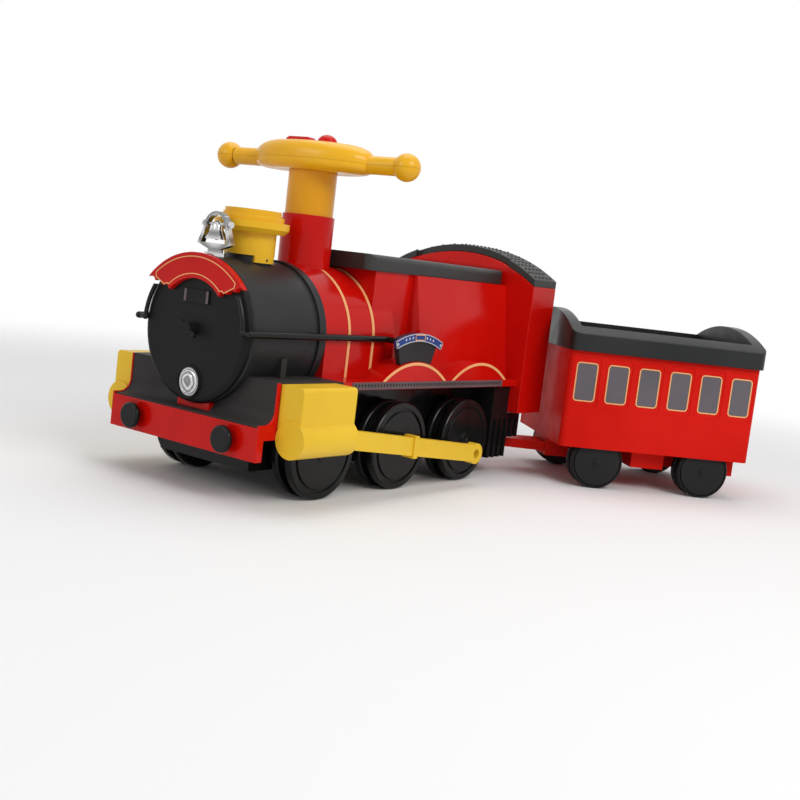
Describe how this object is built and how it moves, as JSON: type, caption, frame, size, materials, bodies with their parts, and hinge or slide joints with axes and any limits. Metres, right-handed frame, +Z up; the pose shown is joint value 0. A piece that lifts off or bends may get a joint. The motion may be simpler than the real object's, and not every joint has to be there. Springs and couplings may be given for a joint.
{
  "type": "ride on train",
  "caption": "Ride-on toy steam train: saddle seat on a tank engine with turning handlebar, press buttons, swinging bell and geared wheels, towing a hinged open carriage.",
  "frame": {"origin": "on the ground, on the locomotive's centre line, under its middle axle", "axes": "+Z up, -Y the way the train drives, +X the train's left, where the picture looks from"},
  "size_m": [0.6424, 1.0391, 0.489],
  "materials": {
    "black_plastic": "glossy black",
    "satin_black": "satin black",
    "red_plastic": "glossy red",
    "yellow_plastic": "glossy golden yellow",
    "deck_grey": "matt dark grey",
    "gold_print": "printed gold",
    "strip_grey": "printed grey",
    "chrome_trim": "bright plated",
    "clear_lens": "clear",
    "steel": "bright zinc",
    "blue_plate": "glossy blue",
    "window_grey": "glossy grey",
    "inner_black": "plain",
    "gear_white": "plain"
  },
  "bodies": {
    "locomotive": {"chassis": "black_plastic", "axle_bushes": "steel", "footplate": "red_plastic", "rivet_strips": "strip_grey", "tank_body": "red_plastic", "gold_lines": "gold_print", "cab_body": "red_plastic", "backrest_cap": "satin_black", "seat": "satin_black", "front_frame": "red_plastic", "front_deck": "deck_grey", "buffers": "black_plastic", "smokebox_barrel": "satin_black", "smokebox_door": "satin_black", "door_dart": "satin_black", "number_plate": "satin_black", "headboard": "red_plastic", "headlight_bezel": "chrome_trim", "headlight_lens": "clear_lens", "side_handrails": "black_plastic", "nameplate_brackets": "satin_black", "nameplates": "blue_plate", "chimney": "yellow_plastic", "bell_yoke": "chrome_trim", "left_cylinder": "yellow_plastic", "right_cylinder": "yellow_plastic", "column_tube": "red_plastic", "column_bush": "satin_black", "battery": "inner_black", "motor": "steel", "gearbox_case": "inner_black", "speaker": "inner_black", "hitch_pin": "steel", "chassis_screws": "steel"},
    "steering": {"handlebar": "yellow_plastic", "column_sleeve": "yellow_plastic", "steering_shaft": "steel", "shaft_clip": "steel", "button_switches": "inner_black"},
    "sound_push": {"sound_button": "red_plastic"},
    "drive_push": {"drive_button": "red_plastic"},
    "front_wheelset": {"front_axle": "steel", "front_wheels": "black_plastic"},
    "middle_wheelset": {"middle_axle": "steel", "middle_wheels": "black_plastic"},
    "rear_wheelset": {"rear_axle": "steel", "rear_wheels": "black_plastic", "axle_gear": "gear_white"},
    "pinion": {"drive_pinion": "gear_white"},
    "swinging_bell": {"bell": "chrome_trim"},
    "carriage": {"car_body": "red_plastic", "car_rim": "satin_black", "window_panes": "window_grey", "window_frames": "gold_print", "car_underframe": "red_plastic"},
    "car_front_wheelset": {"car_front_axle": "steel", "car_front_wheels": "black_plastic"},
    "car_rear_wheelset": {"car_rear_axle": "steel", "car_rear_wheels": "black_plastic"}
  },
  "joints": [
    {"name": "handlebar_turn", "type": "hinge", "parent": "locomotive", "child": "steering", "pos_m": [0, -0.105, 0.38], "axis": [0, 0, 1], "range_deg": [-32, 18]},
    {"name": "sound_press", "type": "slide", "parent": "steering", "child": "sound_push", "axis": [0, 0, -1], "range_m": [0, 0.003], "stiffness_N_per_m": 500, "springref_m": -0.003},
    {"name": "drive_press", "type": "slide", "parent": "steering", "child": "drive_push", "axis": [0, 0, -1], "range_m": [0, 0.003], "stiffness_N_per_m": 500, "springref_m": -0.003},
    {"name": "front_wheel_spin", "type": "hinge", "parent": "locomotive", "child": "front_wheelset", "pos_m": [0, -0.17, 0.064], "axis": [1, 0, 0], "continuous": true},
    {"name": "middle_wheel_spin", "type": "hinge", "parent": "locomotive", "child": "middle_wheelset", "pos_m": [0, 0, 0.064], "axis": [1, 0, 0], "continuous": true},
    {"name": "rear_wheel_spin", "type": "hinge", "parent": "locomotive", "child": "rear_wheelset", "pos_m": [0, 0.17, 0.064], "axis": [1, 0, 0], "continuous": true},
    {"name": "pinion_spin", "type": "hinge", "parent": "locomotive", "child": "pinion", "pos_m": [0, 0.141, 0.064], "axis": [1, 0, 0], "continuous": true},
    {"name": "bell_swing", "type": "hinge", "parent": "locomotive", "child": "swinging_bell", "pos_m": [0, -0.277, 0.347], "axis": [1, 0, 0], "range_deg": [-25, 25]},
    {"name": "coupling_swing", "type": "hinge", "parent": "locomotive", "child": "carriage", "pos_m": [0, 0.256, 0.048], "axis": [0, 0, 1], "range_deg": [-1, 90]},
    {"name": "car_front_wheel_spin", "type": "hinge", "parent": "carriage", "child": "car_front_wheelset", "pos_m": [0.18224, 0.44144, 0.043], "axis": [0.7133, -0.7009, 0], "continuous": true},
    {"name": "car_rear_wheel_spin", "type": "hinge", "parent": "carriage", "child": "car_rear_wheelset", "pos_m": [0.3105, 0.57197, 0.043], "axis": [0.7133, -0.7009, 0], "continuous": true}
  ],
  "couplings": [
    {"joint": "pinion_spin", "follows": "rear_wheel_spin", "ratio": -2.2222}
  ]
}
